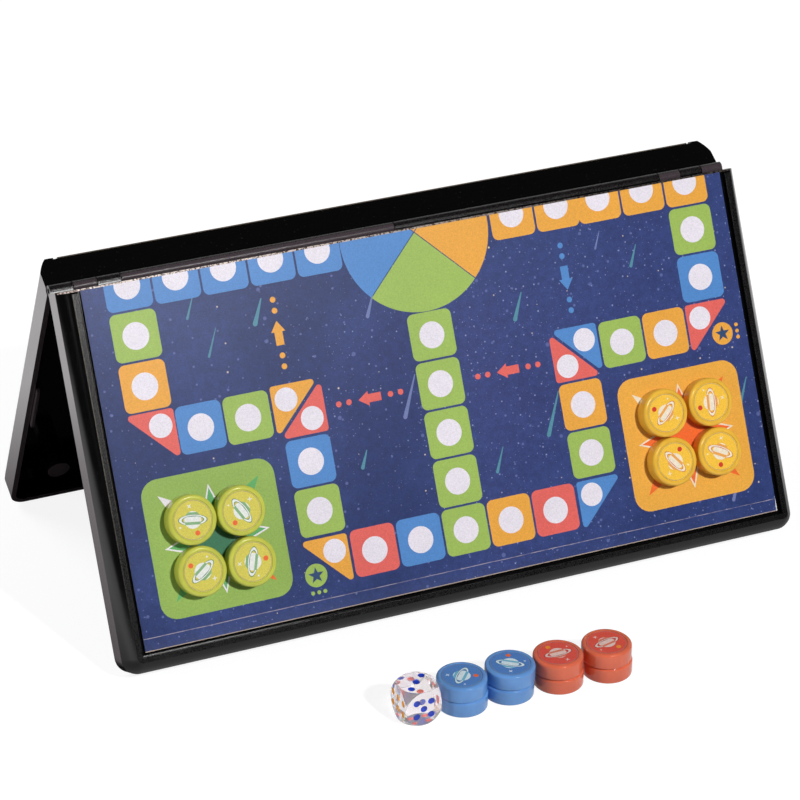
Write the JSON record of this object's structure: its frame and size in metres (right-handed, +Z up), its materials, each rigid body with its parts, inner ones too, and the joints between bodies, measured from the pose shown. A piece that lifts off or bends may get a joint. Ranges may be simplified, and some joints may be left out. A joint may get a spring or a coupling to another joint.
{
  "type": "folding board game box",
  "caption": "Folding black plastic board game box, hinged along one long edge and standing as a tent, with printed outer faces, magnetic playing discs and a clear die.",
  "frame": {"origin": "on the table, under the middle of the whole standing set: the tent and the row of pieces in front of it", "axes": "+X along the hinge, to the right of the player; +Z up; the played board faces -Y, leaning back"},
  "size_m": [0.245, 0.1926, 0.1181],
  "materials": {
    "tray_plastic": "glossy black moulding with a fine matt crest",
    "printed_card": "matt printed card, dark blue ground",
    "steel": "plain thin sheet and pin steel",
    "magnet": "dark sintered magnet",
    "disc_green": "glossy moulded plastic",
    "disc_yellow": "glossy moulded plastic",
    "disc_blue": "glossy moulded plastic",
    "disc_red": "glossy moulded plastic",
    "label_green": "printed round label",
    "label_yellow": "printed round label",
    "label_blue": "printed round label",
    "label_red": "printed round label",
    "clear_acrylic": "clear with painted pips"
  },
  "bodies": {
    "front_half": {"front_tray": "tray_plastic", "front_steel_plate": "steel", "front_board_card": "printed_card", "front_closing_magnets": "magnet", "hinge_pin_left": "steel", "hinge_pin_right": "steel"},
    "back_half": {"back_tray": "tray_plastic", "back_steel_plate": "steel", "back_board_card": "printed_card", "back_closing_magnets": "magnet"},
    "green_piece_1": {"green_disc_1": "disc_green", "green_disc_1_magnet": "magnet", "green_disc_1_label": "label_green"},
    "green_piece_2": {"green_disc_2": "disc_green", "green_disc_2_magnet": "magnet", "green_disc_2_label": "label_green"},
    "green_piece_3": {"green_disc_3": "disc_green", "green_disc_3_magnet": "magnet", "green_disc_3_label": "label_green"},
    "green_piece_4": {"green_disc_4": "disc_green", "green_disc_4_magnet": "magnet", "green_disc_4_label": "label_green"},
    "yellow_piece_1": {"yellow_disc_1": "disc_yellow", "yellow_disc_1_magnet": "magnet", "yellow_disc_1_label": "label_yellow"},
    "yellow_piece_2": {"yellow_disc_2": "disc_yellow", "yellow_disc_2_magnet": "magnet", "yellow_disc_2_label": "label_yellow"},
    "yellow_piece_3": {"yellow_disc_3": "disc_yellow", "yellow_disc_3_magnet": "magnet", "yellow_disc_3_label": "label_yellow"},
    "yellow_piece_4": {"yellow_disc_4": "disc_yellow", "yellow_disc_4_magnet": "magnet", "yellow_disc_4_label": "label_yellow"},
    "blue_piece_1": {"blue_disc_1": "disc_blue", "blue_disc_1_magnet": "magnet", "blue_disc_1_label": "label_blue"},
    "blue_piece_2": {"blue_disc_2": "disc_blue", "blue_disc_2_magnet": "magnet", "blue_disc_2_label": "label_blue"},
    "blue_piece_3": {"blue_disc_3": "disc_blue", "blue_disc_3_magnet": "magnet", "blue_disc_3_label": "label_blue"},
    "blue_piece_4": {"blue_disc_4": "disc_blue", "blue_disc_4_magnet": "magnet", "blue_disc_4_label": "label_blue"},
    "red_piece_1": {"red_disc_1": "disc_red", "red_disc_1_magnet": "magnet", "red_disc_1_label": "label_red"},
    "red_piece_2": {"red_disc_2": "disc_red", "red_disc_2_magnet": "magnet", "red_disc_2_label": "label_red"},
    "red_piece_3": {"red_disc_3": "disc_red", "red_disc_3_magnet": "magnet", "red_disc_3_label": "label_red"},
    "red_piece_4": {"red_disc_4": "disc_red", "red_disc_4_magnet": "magnet", "red_disc_4_label": "label_red"},
    "die_piece": {"die": "clear_acrylic"}
  },
  "joints": [
    {"name": "fold", "type": "hinge", "parent": "front_half", "child": "back_half", "pos_m": [0, 0.02762, 0.11278], "axis": [1, 0, 0], "range_deg": [-54.3, 125.7]},
    {"name": "green_piece_1_lift", "type": "slide", "parent": "front_half", "child": "green_piece_1", "axis": [0, -0.8898, 0.4563], "range_m": [0, 0.03]},
    {"name": "green_piece_2_lift", "type": "slide", "parent": "front_half", "child": "green_piece_2", "axis": [0, -0.8898, 0.4563], "range_m": [0, 0.03]},
    {"name": "green_piece_3_lift", "type": "slide", "parent": "front_half", "child": "green_piece_3", "axis": [0, -0.8898, 0.4563], "range_m": [0, 0.03]},
    {"name": "green_piece_4_lift", "type": "slide", "parent": "front_half", "child": "green_piece_4", "axis": [0, -0.8898, 0.4563], "range_m": [0, 0.03]},
    {"name": "yellow_piece_1_lift", "type": "slide", "parent": "front_half", "child": "yellow_piece_1", "axis": [0, -0.8898, 0.4563], "range_m": [0, 0.03]},
    {"name": "yellow_piece_2_lift", "type": "slide", "parent": "front_half", "child": "yellow_piece_2", "axis": [0, -0.8898, 0.4563], "range_m": [0, 0.03]},
    {"name": "yellow_piece_3_lift", "type": "slide", "parent": "front_half", "child": "yellow_piece_3", "axis": [0, -0.8898, 0.4563], "range_m": [0, 0.03]},
    {"name": "yellow_piece_4_lift", "type": "slide", "parent": "front_half", "child": "yellow_piece_4", "axis": [0, -0.8898, 0.4563], "range_m": [0, 0.03]},
    {"name": "blue_piece_1_lift", "type": "slide", "parent": "front_half", "child": "blue_piece_1", "axis": [0, 0, 1], "range_m": [0, 0.03]},
    {"name": "blue_piece_2_lift", "type": "slide", "parent": "blue_piece_1", "child": "blue_piece_2", "axis": [0, 0, 1], "range_m": [0, 0.03]},
    {"name": "blue_piece_3_lift", "type": "slide", "parent": "front_half", "child": "blue_piece_3", "axis": [0, 0, 1], "range_m": [0, 0.03]},
    {"name": "blue_piece_4_lift", "type": "slide", "parent": "blue_piece_3", "child": "blue_piece_4", "axis": [0, 0, 1], "range_m": [0, 0.03]},
    {"name": "red_piece_1_lift", "type": "slide", "parent": "front_half", "child": "red_piece_1", "axis": [0, 0, 1], "range_m": [0, 0.03]},
    {"name": "red_piece_2_lift", "type": "slide", "parent": "red_piece_1", "child": "red_piece_2", "axis": [0, 0, 1], "range_m": [0, 0.03]},
    {"name": "red_piece_3_lift", "type": "slide", "parent": "front_half", "child": "red_piece_3", "axis": [0, 0, 1], "range_m": [0, 0.03]},
    {"name": "red_piece_4_lift", "type": "slide", "parent": "red_piece_3", "child": "red_piece_4", "axis": [0, 0, 1], "range_m": [0, 0.03]},
    {"name": "die_lift", "type": "slide", "parent": "front_half", "child": "die_piece", "axis": [0, 0, 1], "range_m": [0, 0.03]}
  ]
}
